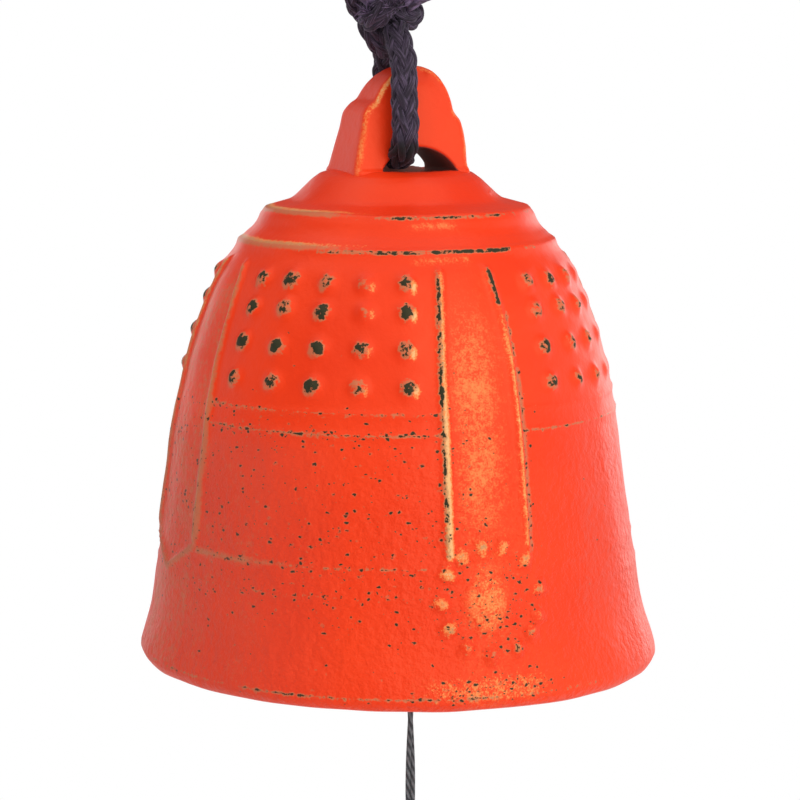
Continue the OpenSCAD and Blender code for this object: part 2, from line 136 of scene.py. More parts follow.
def grid_mesh(name, grids, material, caps=True, fields=()):
    """One mesh from point grids in millimetres. Each grid is rows of rings. Neighbours make
    four-sided faces, and the first and last rings are closed when caps is set. Its UV map runs
    round each ring and, in centimetres, along the rows. fields are values for each point."""
    points, faces, uv, start = [], [], [], 0
    for g in grids:
        n, m = g.shape[:2]
        i = start + np.arange(n * m).reshape(n, m)
        a, b = np.meshgrid(np.arange(n - 1), np.arange(m), indexing="ij")
        c = (b + 1) % m
        faces += np.stack([i[a, b], i[a, c], i[a + 1, c], i[a + 1, b]], axis=-1).reshape(-1, 4).tolist()
        far = run_of(g[:, 0]) / 10
        corner = np.stack([np.stack([(b + across) / m, far[a + along]], -1)
                           for across, along in ((0, 0), (1, 0), (1, 1), (0, 1))], axis=2)
        uv.append(corner.reshape(-1, 2))
        if caps:
            faces += [i[0][::-1].tolist(), i[-1].tolist()]
            uv.append(np.zeros((2 * m, 2)))
        points.append(g.reshape(-1, 3))
        start += n * m
    mesh = bpy.data.meshes.new(name)
    mesh.from_pydata((np.vstack(points) * MM).tolist(), [], faces)
    mesh.uv_layers.new(name="along").data.foreach_set("uv", np.vstack(uv).astype(np.float32).ravel())
    mesh.polygons.foreach_set("use_smooth", np.ones(len(faces), bool))
    for key, values in dict(fields).items():
        field = mesh.attributes.new(key, "FLOAT", "POINT")
        field.data.foreach_set("value", values.astype(np.float32).ravel())
    mesh.materials.append(material)
    mesh.update()
    piece = bpy.data.objects.new(name, mesh)
    scene.collection.objects.link(piece)
    return piece


def plait(route, first_side, seed=1, thick=1.0, flat=((0, 1), (1, 1))):
    """Strands round a path. Half wind one way and half the other, one turn to a lay length. Each
    rises and sinks by a sine of its place round the cord, so that it goes over two strands and
    under two, and the crossings meet in columns of chevrons. flat holds shares of the length and
    the cord's height there, and it gets half as much wider as it is pressed flat. Returns a tube
    grid for each strand, and the path."""
    path, s = smooth_route(route, PLAIT_STEP)
    head, side, up = side_vectors(path, first_side)
    rng = np.random.default_rng(seed)
    strands = []
    half = STRANDS // 2
    low = np.interp(s / s[-1], *flat)
    column = math.radians(CHEVRON_TURN)
    for k in range(STRANDS):
        way = 1 if k < half else -1
        angle = way * 2 * np.pi * s / LAY_LENGTH + 2 * np.pi * (k + 0.25) / half + column
        lift = way * np.sin(half / 2 * (column - angle))
        wave = PLAIT_WAVE * np.sin(s * 1.3 + rng.uniform(0, 6))
        radius = CORD * (PLAIT_R + PLAIT_LIFT * lift) * thick + wave
        line = path + radius[:, None] * (((1.5 - low / 2) * np.cos(angle))[:, None] * side
                                         + (low * np.sin(angle))[:, None] * up)
        run = unit(np.gradient(line, axis=0))
        cross = unit(np.cross(run, line - path))
        size = CORD * thick * (1 + STRAND_PUFF * np.sin(s * 2.1 + rng.uniform(0, 6)))
        strands.append(tube_grid(line, STRAND_WIDE * size, STRAND_THICK * size, cross,
                                 np.cross(run, cross), 10))
    return strands, path


class Link:
    """A shader value. Arithmetic on it adds Math nodes, and node() adds any other node."""

    tree = None

    def __init__(self, socket):
        self.socket = socket

    @classmethod
    def node(cls, kind, settings=None, out=0, **values):
        """A node of this type. Its settings are set first, then each input gets a value or a link: an
        input is named by its label with _ for a space, or by i and its number."""
        n = cls.tree.nodes.new(kind)
        for key, value in (settings or {}).items():
            setattr(n, key, value)
        for key, value in values.items():
            numbered = key[0] == "i" and key[1:].isdigit()
            spot = n.inputs[int(key[1:]) if numbered else key.replace("_", " ")]
            if isinstance(value, Link):
                cls.tree.links.new(value.socket, spot)
            else:
                spot.default_value = value
        return cls(n.outputs[out])

    def math(self, operation, other, flip=False):
        """This value and the other through a Math node. flip puts the other first."""
        a, b = (other, self) if flip else (self, other)
        return Link.node("ShaderNodeMath", {"operation": operation}, i0=a, i1=b)

    def __add__(self, o):
        return self.math("ADD", o)

    def __radd__(self, o):
        return self.math("ADD", o, True)

    def __sub__(self, o):
        return self.math("SUBTRACT", o)

    def __rsub__(self, o):
        return self.math("SUBTRACT", o, True)

    def __mul__(self, o):
        return self.math("MULTIPLY", o)

    def top(self, o):
        """The larger of the two values."""
        return self.math("MAXIMUM", o)

    def ease(self, start, end):
        """0 below start, 1 above end, and smooth between."""
        return Link.node("ShaderNodeMapRange", {"interpolation_type": "SMOOTHSTEP"}, Value=self,
                         From_Min=start, From_Max=end)


def mixed(factor, a, b):
    """Colour a where factor is 0, and b where it is 1. A plain colour is three numbers."""
    a, b = [(*c, 1.0) if isinstance(c, tuple) else c for c in (a, b)]
    return Link.node("ShaderNodeMix", {"data_type": "RGBA"}, out=2, i0=factor, i6=a, i7=b)


def noise(vector, scale, detail=2.0, rough=0.5, stretch=None):
    """Cloudy noise about 0.5. stretch draws it out along an axis."""
    if stretch:
        vector = Link.node("ShaderNodeMapping", Vector=vector, Scale=stretch)
    return Link.node("ShaderNodeTexNoise", Vector=vector, Scale=scale, Detail=detail, Roughness=rough)


def place():
    """The point's own place on its object, in metres."""
    return Link.node("ShaderNodeTexCoord", out=3)


def finish_of(name, build):
    """A material whose nodes are laid out by build, which returns the main shader's inputs by name."""
    made = bpy.data.materials.new(name)
    made.use_nodes = True
    tree = Link.tree = made.node_tree
    shader = tree.nodes["Principled BSDF"]
    for key, value in build().items():
        if isinstance(value, Link):
            tree.links.new(value.socket, shader.inputs[key])
        else:
            shader.inputs[key].default_value = value
    return made


def cord_look():
    """Black-violet cotton: fine threads run along each strand, paler where they stand up. Where it
    turns into the slot it is painted near black, as painted shade."""
    uv = Link.node("ShaderNodeTexCoord", out=2)
    threads = noise(uv, 1.0, 3, 0.6, stretch=(22.0, 5.0, 1.0))
    fuzz = noise(place(), 4000, 2)
    base = mixed(noise(place(), 500, 2).ease(0.35, 0.7), (0.009, 0.004, 0.010), (0.022, 0.012, 0.026))
    base = mixed(threads.ease(0.46, 0.68) * 0.8, base, (0.125, 0.082, 0.145))
    # painted shade: from 50.8 to 52.2 mm below the origin the cord fades to near black, where it turns into
    # the slot
    height = Link.node("ShaderNodeSeparateXYZ", out=2, i0=place())
    base = mixed((0 - height).ease(0.0508, 0.0522) * 0.96, base, (0.001, 0.0008, 0.001))
    bump = Link.node("ShaderNodeBump", Strength=0.8, Distance=0.0002, Height=threads * 0.75 + fuzz * 0.25)
    return {"Base Color": base, "Roughness": 0.72, "Normal": bump, "Sheen Weight": 0.25,
            "Sheen Roughness": 0.4, "Sheen Tint": (0.55, 0.48, 0.65, 1.0), "Specular IOR Level": 0.35}


cord_cotton = finish_of("cord_cotton", cord_look)
sling_strands, sling_path = plait(SLING_ROUTE, (1, 0, 0), thick=LEG_THICK, flat=SLING_FLAT)
sling = grid_mesh("sling_braid", sling_strands, cord_cotton)
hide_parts("sling_cord")
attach(sling, "sling")

# Braided cord: hanging loop
# The same cord goes on up from the knot as a loop that is put over a hook. Both legs
# leave the knot's top.
LOOP_ROUTE = [(-2.5, 0, -27), (-3.6, 0, -24), (-5.4, 0, -19), (-6.4, 0, -13), (-6.2, 0, -7),
              (-4.6, 0, -2), (-2.3, 0, 0.7), (0, 0, 1.5), (2.3, 0, 0.7), (4.6, 0, -2),
              (6, 0, -7), (5.8, 0, -13), (4.4, 0, -19), (2.2, 0, -24), (0.7, 0, -27)]

loop_strands, loop_path = plait(LOOP_ROUTE, (0, 1, 0), seed=2, thick=LEG_THICK)
loop = grid_mesh("hang_loop_braid", loop_strands, cord_cotton)
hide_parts("hang_loop")
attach(loop, "loop")

# Cord knot
# All four legs are tied in one overhand knot, drawn tight, about 11 mm across, with a turn tucked
# in below and a collar round the loop's legs. The cord's two frayed ends stand out at its sides.
# The knot sits on the sling, below the loop.
KNOT_X, KNOT_Y, KNOT_Z = -1.5, 0.3, -32.9
KNOT_MIDDLE_R, KNOT_FAT_R, KNOT_HALF_H, KNOT_START = 2.7, 1.25, 3.3, 0.5
KNOT_TUCK = [(-0.5, 1.5, -33.6), (-2.6, 1.9, -35.2), (-3.3, 1.3, -36.6), (-2.8, 1.2, -38.0),
             (-1.6, 1.8, -39.3), (-0.3, 2.8, -39.9)]
KNOT_NECKS = [[(-2.5, 0, -26.6), (-2.2, 0, -28.5), (-1.8, 0, -31)],
              [(0.7, 0, -26.6), (0.4, 0, -28.5), (0, 0, -31)]]
COLLAR_X, COLLAR_HALF_X, COLLAR_HALF_Y = -0.9, 3.2, 2.0
COLLAR_Z, COLLAR_DIP = -28.6, 0.5
END_THICK, FIBRE_R, FIBRE_SCATTER = 0.9, 0.10, 0.35
TAIL_RIGHT = [(0.0, -2.2, -34.0), (1.9, -2.8, -33.0), (3.6, -3.2, -31.9)]
TAIL_LEFT = [(-3.4, -1.6, -33.6), (-5.2, -2.0, -32.6), (-6.6, -2.2, -31.2)]
FUZZ_SPOTS = [(-2.4, -4.2, -34.6), (-1.2, -4.4, -33.6), (-4.6, -1.8, -35.4)]


def knot_line():
    """Centreline of the knot: it goes twice round the upright axis, and three times in and out:
    radius is the middle radius plus the fat radius times cos 3t, and height is a sine of 3t."""
    t = np.radians(np.arange(12, 349, 8.0))
    r = KNOT_MIDDLE_R + KNOT_FAT_R * np.cos(3 * t)
    around = 2 * t + KNOT_START
    return np.column_stack([KNOT_X + r * np.cos(around), KNOT_Y + r * np.sin(around),
                            KNOT_Z + KNOT_HALF_H * np.sin(3 * t)])


def fibres(origin, heading, count, spread, length, seed):
    """Frayed fibres: each starts near origin, goes along heading with its own lean, and curls by the
    square of its distance from there."""
    rng = np.random.default_rng(seed)
    head = np.array(heading, float)
    head /= np.linalg.norm(head)
    grids = []
    for _ in range(count):
        lean = rng.normal(0, spread, 3)
        curl = rng.normal(0, spread, 3)
        s = np.linspace(0, length * rng.uniform(0.5, 1), 7)[:, None]
        line = origin + rng.normal(0, FIBRE_SCATTER, 3)
        line = line + s * (head + lean) + s ** 2 / length * curl
        _, side, up = side_vectors(line, (0.3, 0.5, 0.8))
        thin = FIBRE_R * np.linspace(1, 0.5, 7)
        grids.append(tube_grid(line, thin, thin, side, up, 4))
    return grids


def frayed_look():
    """Loose fibres of the cord, paler than the plait."""
    base = mixed(noise(place(), 900, 2).ease(0.35, 0.65), (0.030, 0.019, 0.036), (0.15, 0.10, 0.18))
    return {"Base Color": base, "Roughness": 0.7, "Specular IOR Level": 0.3}


knot_strands, _ = plait(knot_line(), (0, 0, 1), seed=3)
tuck_strands, _ = plait(KNOT_TUCK, (0, 0, 1), seed=4, thick=0.95)
neck_strands = [grid for route in KNOT_NECKS for grid in plait(route, (0, 1, 0), seed=6)[0]]
collar_turn = np.radians(np.arange(0, 376, 15.0))
collar = np.column_stack([COLLAR_X + COLLAR_HALF_X * np.cos(collar_turn),
                          COLLAR_HALF_Y * np.sin(collar_turn),
                          COLLAR_Z - COLLAR_DIP * np.cos(collar_turn / 2)])
collar_strands, _ = plait(collar, (0, 0, 1), seed=7, thick=END_THICK)
knot = grid_mesh("knot_braid", knot_strands + tuck_strands + neck_strands + collar_strands, cord_cotton)
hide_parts("hang_knot")
tail_grids = []
for tail_points, seed in ((TAIL_RIGHT, 5), (TAIL_LEFT, 9)):
    stub, _ = plait(tail_points, (0, 0, 1), seed=seed, thick=END_THICK)
    tail_grids += stub
    heading = np.subtract(tail_points[-1], tail_points[-2]) + (0, 0, 0.4)
    tail_grids += fibres(tail_points[-1], heading, count=60, spread=0.28, length=2.0, seed=seed)
for spot in FUZZ_SPOTS:
    tail_grids += fibres(spot, (-0.6, -0.5, 0.2), count=26, spread=0.55, length=2.2, seed=11)
frayed = grid_mesh("frayed_ends", tail_grids, finish_of("cord_frayed", frayed_look))
for piece in (knot, frayed):
    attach(piece, "sling")
(sling_path[0] * MM).tolist()
(sling_path[::4] * MM).tolist()
(loop_path[0] * MM).tolist()
(loop_path[::4] * MM).tolist()

# Clapper string, its eye and stop knot
# Two charcoal threads twisted together. A small eye goes round the staple's bar, and the
# string runs down through the disc to a stop knot.
STRING, STRING_X = 1.2, 1.9
TWIST_LENGTH, THREAD_OUT = 36.0, 0.31
EYE_Z, EYE_R, EYE_PITCH = -63.1, 1.7, 10.7
EYE_KNOT_Z, STOP_KNOT_Z, CLAPPER_RUN = -66.1, -112.25, 45.0
SMALL_KNOT, STOP_KNOT = 2.6, 3.2
SMALL_MIDDLE, SMALL_FAT, SMALL_HALF_H, SMALL_THREAD = 0.24, 0.09, 0.26, 0.19


def twisted(route, first_side, pitch=TWIST_LENGTH, thread=0.36, start=0.0):
    """Two round threads on opposite sides of a path, one turn to a pitch. Returns grids and path."""
    path, s = smooth_route(route, 0.5)
    _, side, up = side_vectors(path, first_side)
    grids = []
    for k in (0, 1):
        angle = 2 * np.pi * s / pitch + np.pi * k + start
        line = path + THREAD_OUT * (np.cos(angle)[:, None] * side + np.sin(angle)[:, None] * up)
        grids.append(tube_grid(line, thread, thread, side, up, 8))
    return grids, path


def small_knot(x, z, size):
    """A tight overhand knot of string about size across: the line of the cord's knot, scaled."""
    t = np.radians(np.arange(0, 360, 7.5))
    r = size * (SMALL_MIDDLE + SMALL_FAT * np.cos(3 * t))
    line = np.column_stack([x + r * np.cos(2 * t), r * np.sin(2 * t),
                            z + size * SMALL_HALF_H * np.sin(3 * t)])
    _, side, up = side_vectors(line, (0, 0, 1))
    return [tube_grid(line, size * SMALL_THREAD, size * SMALL_THREAD, side, up, 8)]


def string_look():
    """Charcoal thread: its fibres wind round it, three to a turn, with fine hairs along them."""
    uv = Link.node("ShaderNodeTexCoord", out=2)
    slant = Link.node("ShaderNodeMapping", Vector=uv, Scale=(0.6 * math.pi, 4.2, 1.0))
    lay = Link.node("ShaderNodeTexWave", {"bands_direction": "DIAGONAL"}, out=1, Vector=slant, Scale=1.0,
                    Distortion=1.2, Detail=1.0)
    threads = lay * 0.4 + noise(uv, 1.0, 3, 0.6, stretch=(10.0, 14.0, 1.0)) * 0.6
    base = mixed(threads.ease(0.30, 0.75), (0.036, 0.039, 0.043), (0.17, 0.175, 0.185))
    bump = Link.node("ShaderNodeBump", Strength=0.7, Distance=0.00015, Height=threads)
    return {"Base Color": base, "Roughness": 0.8, "Normal": bump, "Sheen Weight": 0.15,
            "Specular IOR Level": 0.3}


string_thread = finish_of("string_thread", string_look)
eye_turn = np.radians(np.arange(-90, 271, 15.0))
eye_line = [(STRING_X, EYE_R * math.cos(a), EYE_Z + EYE_R * math.sin(a)) for a in eye_turn]
eye_grids, _ = twisted(eye_line, (1, 0, 0), pitch=EYE_PITCH, thread=0.33)
eye = grid_mesh("string_eye", eye_grids + small_knot(STRING_X, EYE_KNOT_Z, SMALL_KNOT), string_thread)
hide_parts("eye_loop")
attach(eye, "eye")

clapper_grids, clapper_path = twisted([(STRING_X, 0, z) for z in (-67, -78, -89, -100, -112)], (1, 0, 0))
clapper_string = grid_mesh("clapper_string", clapper_grids, string_thread)
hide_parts("clapper_cord")
stop_knot = grid_mesh("stop_knot_thread", small_knot(STRING_X, STOP_KNOT_Z, STOP_KNOT), string_thread)
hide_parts("stop_knot")
for piece in (clapper_string, stop_knot):
    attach(piece, "clapper")
(clapper_path[0] * MM).tolist()
(clapper_path[::4] * MM).tolist()

# Tail string and the strip's tie
# The same string goes on below the stop knot and out of the mouth. A knot closes the loop
# that passes through the strip's hole.
TIE_KNOT_Z, TAIL_TURN = -141.6, -0.6
TAIL_ROUTE = [(1.9, 0, -113.2), (1.9, 0, -120), (1.9, 0, -127), (1.9, 0, -134), (1.9, 0, -139.5),
              (1.9, -0.5, -142), (1.9, -1.3, -145), (1.9, -1.5, -147.6), (1.9, -1.1, -148.9),
              (1.9, 0, -149.4), (1.9, 1.1, -148.9), (1.9, 1.5, -147.6), (1.9, 1.3, -145),
              (1.9, 0.5, -142)]

tail_strands, tail_path = twisted(TAIL_ROUTE, (1, 0, 0), start=TAIL_TURN)
tail = grid_mesh("tail_and_tie_string", tail_strands, string_thread)
tie_knot = grid_mesh("tie_knot_thread", small_knot(STRING_X, TIE_KNOT_Z, SMALL_KNOT), string_thread)
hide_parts("tail_string", "tie_loop")
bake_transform(tail)
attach(tie_knot, "tie")
(tail_path[0] * MM).tolist()
(tail_path[::2] * MM).tolist()

# Painted iron bell: shell
# Sand-cast iron, about 3 mm thick, with its ornament cast on: four bands with ribs, panels of
# bosses, rings round the shoulder and a lotus seat. It is painted orange red over black iron.
LIP_R, BELL_H, WALL, LIP_WALL, CROWN_WALL = 33.5, 62.8, 3.0, 4.2, 3.4
LIP_Z, CROWN_Z = -118.0, -55.2
LIP_SHARES = [(0.961, 0), (0.985, 0.006), (1, 0.021), (0.9895, 0.041), (0.978, 0.062), (0.966, 0.083)]
FLANK_SHARES = [(0.955, 0.107), (0.878, 0.39), (0.866, 0.621), (0.657, 0.82)]
CROWN_SHARES = [(0.642, 0.833), (0.627, 0.842), (0.606, 0.858), (0.576, 0.874), (0.555, 0.884),
                (0.54, 0.8965), (0.525, 0.913), (0.504, 0.923), (0.466, 0.931), (0.409, 0.939),
                (0.388, 0.947), (0.358, 0.963), (0.325, 0.98), (0.293, 0.992), (0.239, 1)]
VAULT_SHARE, VAULT_SAG, CEILING_SHARE, LIP_BREAK = 0.364, 0.8, 0.18, 0.5
RING_HIGH, RING_LOW, LIP_CREST = 58.0, 53.9, 1.7
BAND_FOOT, BAND_TOP, ARCH_TIP = 17.0, 52.4, 13.3
FRONT_EDGE = [(15, 9.6), (40, 9.9), (47.5, 9.1), (52.4, 8.1)]
SIDE_EDGE = [(17, 13.0), (30, 12.8), (38, 12.1), (46, 11.8), (50, 10.2), (52.4, 7.8)]
RIB_RISE, FRONT_RIB, SIDE_RIB = 0.5, 0.5, [(17, 0.85), (34, 0.7), (46, 0.45)]
ARCH_WIDE, ARCH_RISE, BAND_FOOT_R = 0.5, 0.45, 30.5
BOSS_R, BOSS_RISE, BOSSES_FROM = 1.5, 0.72, 35.5
BOSS_CORE, BOSS_POWER = 0.72, 2.3
BOSS_ROWS = np.array([50.2, 46.9, 42.6, 38.1])
BOSS_STEPS = np.array([11.2, 12.6, 11.2, 12.3])
BOSS_SHIFT = np.array([(-0.1, -0.35), (0, 0), (0, -0.25), (0.6, 0.1)])
PANEL_LINES, LINE_RISES = [34.95, 32.45, 16.6, 13.1], [0.2, 0.18, 0.12, 0.1]
LOTUS_Z, LOTUS_R = 12.6, 6.4
PETAL_CAP, HEART_CAP = (1.1, 0.62, 0.15), (4.0, 0.7, 0.2)
PETALS = np.radians([8, 44, 75, 99, 124, 149, 181, 208, 236, 265, 297, 320, 339])
PETAL_WEAR = np.array([0.6, 0.85, 0.9, 0.95, 1.0, 1.0, 0.85, 0.9, 0.5, 0.25, 0.5, 0.5, 0.5])
WAVES, WAVE_RATE, WAVE_RISE = 50, 0.4, 0.011
GROOVE_DEEP, GROOVE_FRONT, GROOVE_BACK = 0.9, 5.9, 7.0
SLOT_X, SLOT_HALF, SLOT_H = 1.0, 5.05, 2.95
FINE_STEP, COLUMNS = 0.05, 480
ROW_STEPS = [(-100, 5), (-8, 4), (-3, 0.6), (6, 0.5), (10, 0.5), (11, 0.42), (18, 0.42), (20, 0.9),
             (29, 0.9), (32, 0.38), (71, 0.30), (75, 0.6), (100, 0.6)]


def cubic(p, t):
    """Point at share t of a curve pulled by four points."""
    p, t = np.array(p, float), np.asarray(t, float)[:, None]
    return (1 - t) ** 3 * p[0] + 3 * t * (1 - t) ** 2 * p[1] + 3 * t * t * (1 - t) * p[2] + t ** 3 * p[3]


def graph(x, *points):
    """The value at x of a line drawn through points of place and value, and flat beyond its ends."""
    return np.interp(x, *zip(*points))


def ramp(x, start, end):
    """0 at start, 1 at end, straight between and flat beyond. Start may be the larger."""
    return np.clip((x - start) / (end - start), 0, 1)


def eased_line(corners, spread, reach):
    """Close-set points along a line, its corners eased by a bell-curve average. The curve's spread
    and reach count points. Returns the distances from the start, and the points."""
    corners = np.array(corners, float)
    run = run_of(corners)
    fine = np.arange(0, run[-1], FINE_STEP)
    line = np.column_stack([np.interp(fine, run, corners[:, k]) for k in range(2)])
    w = np.exp(-0.5 * (np.arange(-reach, reach + 1) / spread) ** 2)
    padded = np.vstack([line[:1].repeat(reach, 0), line, line[-1:].repeat(reach, 0)])
    return fine, np.column_stack([np.convolve(padded[:, k], w / w.sum(), "valid") for k in range(2)])


def shell_rows():
    """Radius, height and outward side along the casting: down the inside from the ceiling, round the
    lip and up the outside to the crown's middle. Rows stand close on the outside and far apart
    within. The last value is how far round each row is past the lip's foot."""
    size = np.array([LIP_R, BELL_H])
    flank = np.array(FLANK_SHARES) * size
    inner = flank - WALL * np.array([[1, 0], [1, 0], [1, 0.17], [0.87, 0.49]])
    ceiling = BELL_H - CROWN_WALL
    vault = [inner[3], inner[3] + WALL * np.array([-0.66, 1.16]),
             (LIP_R * VAULT_SHARE, ceiling - VAULT_SAG), (LIP_R * CEILING_SHARE, ceiling)]
    lip_in = LIP_R - LIP_WALL
    t = np.linspace(0, 1, 60)
    fine, line = eased_line(np.vstack([[[0, ceiling]], cubic(vault, t)[::-1], cubic(inner, t)[::-1],
                                       [[lip_in, LIP_BREAK], [lip_in + LIP_BREAK, 0]],
                                       np.array(LIP_SHARES) * size, cubic(flank, t),
                                       np.array(CROWN_SHARES) * size, [[0, BELL_H]]]),
                            spread=3.5, reach=24)
    line[0, 0] = line[-1, 0] = 0.0
    past = fine - fine[np.argmin(line[:, 1])]
    need = np.concatenate([[0], np.cumsum(FINE_STEP / graph(past, *ROW_STEPS)[1:])])
    s = np.interp(np.linspace(0, need[-1], round(need[-1]) + 1), need, fine)
    slope = unit(np.gradient(line, axis=0))
    table = np.column_stack([line, slope[:, 1], -slope[:, 0], past])
    return np.column_stack([np.interp(s, fine, table[:, k]) for k in range(5)])


def ridge(distance, width, height=1.0):
    """A round ridge: height times a bell curve of the distance over the width."""
    return height * np.exp(-((distance / width) ** 2))


def cap(distance, radius, height, ease):
    """A cap of a ball, height high and radius wide, whose foot runs out in a small fillet."""
    ball = (radius ** 2 + height ** 2) / (2 * height)
    c = np.sqrt(np.maximum(ball ** 2 - distance ** 2, 0)) - (ball - height)
    return 0.5 * (c + np.sqrt(c ** 2 + ease ** 2)) * ramp(distance, radius + 1, radius + 0.2)


def to_segment(u, v, a, b):
    """Distance from points u, v to the line from a to b."""
    ax, ay, bx, by = *a, *b
    t = np.clip(((u - ax) * (bx - ax) + (v - ay) * (by - ay)) / ((bx - ax) ** 2 + (by - ay) ** 2), 0, 1)
    return np.hypot(u - ax - t * (bx - ax), v - ay - t * (by - ay))


rows = shell_rows()
azimuth = np.linspace(0, 360, COLUMNS, endpoint=False)
R, AZ = np.meshgrid(rows[:, 0], azimuth, indexing="ij")
Z, OUT_R, OUT_Z, PAST = [np.repeat(rows[:, k:k + 1], COLUMNS, axis=1) for k in (1, 2, 3, 4)]
outside, past_lip = PAST > 4, PAST > 0
flank = outside & (Z > 5) & (Z < 53)
on_crown = outside & (R > 12)
rng = np.random.default_rng(7)

# bands, and the ribs and arches at their edges
around = (AZ + 180) % 360 - 180
band = np.round(AZ / 90.0)
side_band = (band % 2) == 1
off_band = AZ - 90.0 * band
u_band = R * np.radians(off_band)
half_band = np.where(side_band, graph(Z, *SIDE_EDGE), graph(Z, *FRONT_EDGE))
rib_d = np.abs(u_band) - R * np.radians(half_band)
rib_end = ramp(Z, BAND_FOOT, BAND_FOOT + 1.2) * ramp(Z, BAND_TOP, BAND_TOP - 1.0)
rib_wide = np.where(side_band, graph(Z, *SIDE_RIB), FRONT_RIB)
ribs = ridge(rib_d, rib_wide, RIB_RISE) * rib_end
half_foot = BAND_FOOT_R * math.radians(SIDE_EDGE[0][1])
arch_d = np.minimum(to_segment(u_band, Z, (-half_foot, BAND_FOOT), (0, ARCH_TIP)),
                    to_segment(u_band, Z, (half_foot, BAND_FOOT), (0, ARCH_TIP)))
arches = np.where(side_band, ridge(arch_d, ARCH_WIDE, ARCH_RISE), 0)

# bosses, each a little off its place, with those at the right limb cast faintly
panel = np.floor(AZ / 90.0).astype(int) % 4
off_panel = AZ - 90.0 * panel - 45.0
jitter = rng.normal(0, 0.10, (4, 5, 4, 2)) + BOSS_SHIFT[:, None, None]
boss_rub = rng.uniform(0.85, 1.0, (4, 5, 4))
boss_rub[3, 3, :2] = 0.66, 0.5
boss_rub[0, 0] = 0.66, 0.8, 0.85, 0.95
boss_rub[0, 1:, :] = np.array([0.8, 0.72, 0.4, 0.4])[:, None]
boss_high = np.full((4, 5, 4), BOSS_RISE)
boss_high[0, 3:] = np.array([0.45, 0.25])[:, None]
column = np.clip(np.round(off_panel / BOSS_STEPS[panel]), -2, 2).astype(int)
row = np.abs(Z[..., None] - BOSS_ROWS).argmin(-1)
pick = (panel, column + 2, row)
boss_u = R * np.radians(off_panel - column * BOSS_STEPS[panel]) - jitter[..., 0][pick]
boss_v = Z - BOSS_ROWS[row] - jitter[..., 1][pick]
boss_d = np.hypot(boss_u, boss_v * 1.03)
bosses = boss_high[pick] * np.exp(-((boss_d / (BOSS_CORE * BOSS_R)) ** BOSS_POWER)) * (Z > BOSSES_FROM)

# lines across the panels, rings on the crown, and the lotus seat on the front and back bands
within = ramp(rib_d, 0, 0.6)
lines = sum(ridge(Z - z, 0.42, high) for z, high in zip(PANEL_LINES, LINE_RISES)) * within
over_high, over_low = Z - RING_HIGH, Z - RING_LOW
rings = (ridge(over_high, 0.3, 0.16) + ridge(over_low, 0.36, 0.2)
         - ridge(over_high + 1.6, 1.0, 0.12) - ridge(over_low + 1.5, 0.7, 0.12))
polar = np.hypot(u_band, Z - LOTUS_Z)
bearing = np.arctan2(Z - LOTUS_Z, u_band)
apart = np.angle(np.exp(1j * (bearing[..., None] - PETALS)))
petal = np.abs(apart).argmin(-1)
beside = np.take_along_axis(apart, petal[..., None], -1)[..., 0] * LOTUS_R
petal_d = np.hypot((polar - LOTUS_R) / 1.2, beside / 0.9)
petal_d = np.where(side_band | (polar > 10), 9, petal_d)
heart_d = np.where(side_band, 9, polar)
lotus = np.maximum(cap(petal_d, *PETAL_CAP), cap(heart_d, *HEART_CAP))
relief = np.where(flank, np.maximum.reduce([bosses, ribs, arches, lines, lotus]), 0)
relief += np.where(on_crown & (Z > 51), rings, 0)

# the casting's own unevenness is a sum of soft waves in all directions
uneven = np.zeros_like(R)
east, north = R * np.sin(np.radians(AZ)), -R * np.cos(np.radians(AZ))
for w, phase in zip(rng.normal(0, WAVE_RATE, (WAVES, 3)), rng.uniform(0, 2 * np.pi, WAVES)):
    uneven += WAVE_RISE * np.sin(w[0] * east + w[1] * north + w[2] * Z + phase)
uneven *= np.clip(R / 8, 0, 1)

# groove across the crown, where the cord passes under the lug
from_axis, from_slot = np.abs(north), np.abs(east - SLOT_X)
groove = GROOVE_DEEP * ramp(from_axis - np.where(north < 0, GROOVE_FRONT, GROOVE_BACK), 0, -1.4)
groove *= ramp(from_slot, 5.4, 4.6)
groove = np.where(outside & (Z > BELL_H - 2), groove, 0)

# at the right the flank is drawn in above the lip, and the lip hangs lower there
to_right = (0.5 + 0.5 * np.cos(np.radians(AZ - 68))) ** 2
drawn = to_right * graph(Z, (0, 0.35), (3, 0.3), (8, -0.1), (14, -0.3), (22, -0.4), (34, -0.25),
                         (45, -0.1), (55, 0))
sag = (0.42 + 0.42 * np.cos(np.radians(AZ - 58))) * ramp(Z, 16, 0) ** 2

lift = relief + uneven
r_new = R + lift * OUT_R + drawn
shell_grid = np.stack([r_new * np.sin(np.radians(AZ)), -r_new * np.cos(np.radians(AZ)),
                       Z + lift * OUT_Z - groove - sag + LIP_Z], axis=-1)

# where the paint is rubbed off to black iron, round the rings and elsewhere
high_ring = graph(around, (-180, 0.85), (-140, 0.85), (-100, 0.4), (-50, 0.5), (-27, 0.62), (-19, 0.92),
                  (2, 0.98), (5, 0.7), (9, 0.7), (12, 0.93), (18, 0.72), (21, 0.93), (25, 0.93),
                  (28, 0.5), (90, 0.4), (120, 0.8), (180, 0.85))
low_ring = graph(around, (-180, 0.9), (-140, 0.85), (-110, 0.4), (-75, 0.4), (-50, 0.6), (-46, 0.80),
                 (-28, 0.90), (-25, 1.12), (20, 1.12), (22, 0.5), (28, 0.5), (31, 0.76), (38, 0.76),
                 (42, 0.4), (90, 0.4), (120, 0.8), (180, 0.9))
lip_edge = graph(around, (-50, 0.62), (-45, 0.82), (-34, 0.82), (-28, 0.68), (0, 0.6), (40, 0.3))
front_left = rib_end * (off_band < 0) * ~side_band
front_right = rib_end * (off_band > 0) * ~side_band
at_side = rib_end * side_band
on_bosses = flank & (Z > BOSSES_FROM)
left_panel = (around > -90) & (around < 0)
